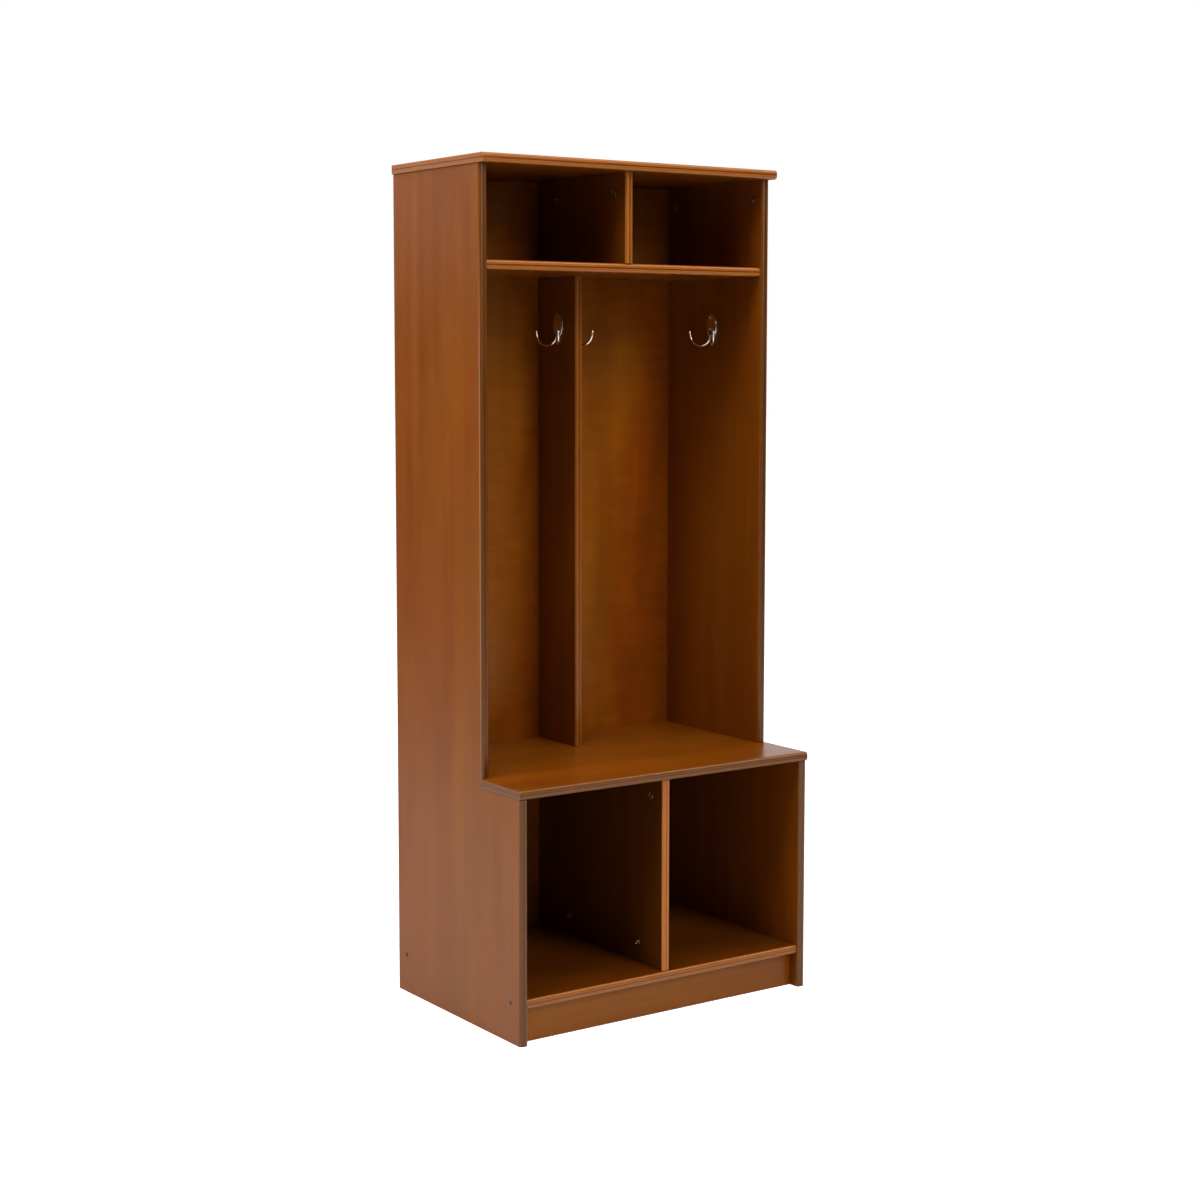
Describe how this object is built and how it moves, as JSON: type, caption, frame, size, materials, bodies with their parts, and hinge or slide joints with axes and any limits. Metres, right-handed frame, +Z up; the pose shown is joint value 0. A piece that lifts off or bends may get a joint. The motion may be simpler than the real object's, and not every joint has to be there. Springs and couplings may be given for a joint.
{
  "type": "coat locker with bench",
  "caption": "Open-fronted plywood coat locker with hat cubbies above, hanging bays with double coat hooks, a bench seat and shoe cubbies below a recessed-plinth case.",
  "frame": {"origin": "on the floor, under the middle of the bounding box", "axes": "+Z up, -Y the open front, +Y the back that stands at a wall, +X to the user's right"},
  "size_m": [0.696, 0.456, 1.65],
  "materials": {
    "stained_birch": "warm brown stain under semi-gloss lacquer",
    "back_birch": "amber stain under satin lacquer",
    "bright_nickel": "bright nickel plate",
    "zinc": "dull nickel on die-cast zinc",
    "steel": "zinc-plated steel",
    "beech": "bare beech"
  },
  "bodies": {
    "case": {"left_side_panel": "stained_birch", "right_side_panel": "stained_birch", "top_board": "stained_birch", "bench_seat": "stained_birch", "hat_shelf": "stained_birch", "bottom_shelf": "stained_birch", "hat_divider": "stained_birch", "coat_divider": "stained_birch", "shoe_divider": "stained_birch", "kick_plate": "stained_birch", "upper_back_panel": "back_birch", "lower_back_panel": "back_birch", "coat_hook_left_side": "bright_nickel", "coat_hook_divider_left": "bright_nickel", "coat_hook_divider_right": "bright_nickel", "coat_hook_right_side": "bright_nickel", "hook_screw_left_side_upper": "steel", "hook_screw_left_side_lower": "steel", "hook_screw_divider_left_upper": "steel", "hook_screw_divider_left_lower": "steel", "hook_screw_divider_right_upper": "steel", "hook_screw_divider_right_lower": "steel", "hook_screw_right_side_upper": "steel", "hook_screw_right_side_lower": "steel", "confirmat_left_rear": "steel", "confirmat_left_front": "steel", "confirmat_right_rear": "steel", "confirmat_right_front": "steel", "cam_bolt_left_rear": "steel", "cam_bolt_left_front": "steel", "cam_bolt_right_rear": "steel", "cam_bolt_right_front": "steel", "cam_bolt_hat_divider_rear": "steel", "cam_bolt_hat_divider_front": "steel", "cam_bolt_shoe_divider_top_rear": "steel", "cam_bolt_shoe_divider_top_front": "steel", "cam_bolt_shoe_divider_foot_rear": "steel", "cam_bolt_shoe_divider_foot_front": "steel", "dowel_hat_shelf_left_rear": "beech", "dowel_hat_shelf_left_front": "beech", "dowel_hat_shelf_right_rear": "beech", "dowel_hat_shelf_right_front": "beech", "dowel_bench_left": "beech", "dowel_bench_right": "beech", "dowel_kick_plate_left": "beech", "dowel_kick_plate_right": "beech", "dowel_hat_divider_rear": "beech", "dowel_hat_divider_front": "beech", "dowel_coat_divider_top": "beech", "dowel_coat_divider_foot": "beech"},
    "left_rear_disc": {"cam_left_rear": "zinc"},
    "left_front_disc": {"cam_left_front": "zinc"},
    "right_rear_disc": {"cam_right_rear": "zinc"},
    "right_front_disc": {"cam_right_front": "zinc"},
    "hat_divider_rear_disc": {"cam_hat_divider_rear": "zinc"},
    "hat_divider_front_disc": {"cam_hat_divider_front": "zinc"},
    "shoe_divider_top_rear_disc": {"cam_shoe_divider_top_rear": "zinc"},
    "shoe_divider_top_front_disc": {"cam_shoe_divider_top_front": "zinc"},
    "shoe_divider_foot_rear_disc": {"cam_shoe_divider_foot_rear": "zinc"},
    "shoe_divider_foot_front_disc": {"cam_shoe_divider_foot_front": "zinc"}
  },
  "joints": [
    {"name": "turn_left_rear", "type": "hinge", "parent": "case", "child": "left_rear_disc", "pos_m": [-0.326, 0.197, 1.593], "axis": [1, 0, 0], "range_deg": [0, 180]},
    {"name": "turn_left_front", "type": "hinge", "parent": "case", "child": "left_front_disc", "pos_m": [-0.326, -0.058, 1.593], "axis": [1, 0, 0], "range_deg": [0, 180]},
    {"name": "turn_right_rear", "type": "hinge", "parent": "case", "child": "right_rear_disc", "pos_m": [0.326, 0.197, 1.593], "axis": [-1, 0, 0], "range_deg": [0, 180]},
    {"name": "turn_right_front", "type": "hinge", "parent": "case", "child": "right_front_disc", "pos_m": [0.326, -0.058, 1.593], "axis": [-1, 0, 0], "range_deg": [0, 180]},
    {"name": "turn_hat_divider_rear", "type": "hinge", "parent": "case", "child": "hat_divider_rear_disc", "pos_m": [-0.009, 0.151, 1.593], "axis": [-1, 0, 0], "range_deg": [0, 180]},
    {"name": "turn_hat_divider_front", "type": "hinge", "parent": "case", "child": "hat_divider_front_disc", "pos_m": [-0.009, -0.049, 1.593], "axis": [-1, 0, 0], "range_deg": [0, 180]},
    {"name": "turn_shoe_divider_top_rear", "type": "hinge", "parent": "case", "child": "shoe_divider_top_rear_disc", "pos_m": [-0.009, 0.108, 0.426], "axis": [-1, 0, 0], "range_deg": [0, 180]},
    {"name": "turn_shoe_divider_top_front", "type": "hinge", "parent": "case", "child": "shoe_divider_top_front_disc", "pos_m": [-0.009, -0.175, 0.426], "axis": [-1, 0, 0], "range_deg": [0, 180]},
    {"name": "turn_shoe_divider_foot_rear", "type": "hinge", "parent": "case", "child": "shoe_divider_foot_rear_disc", "pos_m": [-0.009, 0.108, 0.125], "axis": [-1, 0, 0], "range_deg": [0, 180]},
    {"name": "turn_shoe_divider_foot_front", "type": "hinge", "parent": "case", "child": "shoe_divider_foot_front_disc", "pos_m": [-0.009, -0.132, 0.125], "axis": [-1, 0, 0], "range_deg": [0, 180]}
  ]
}
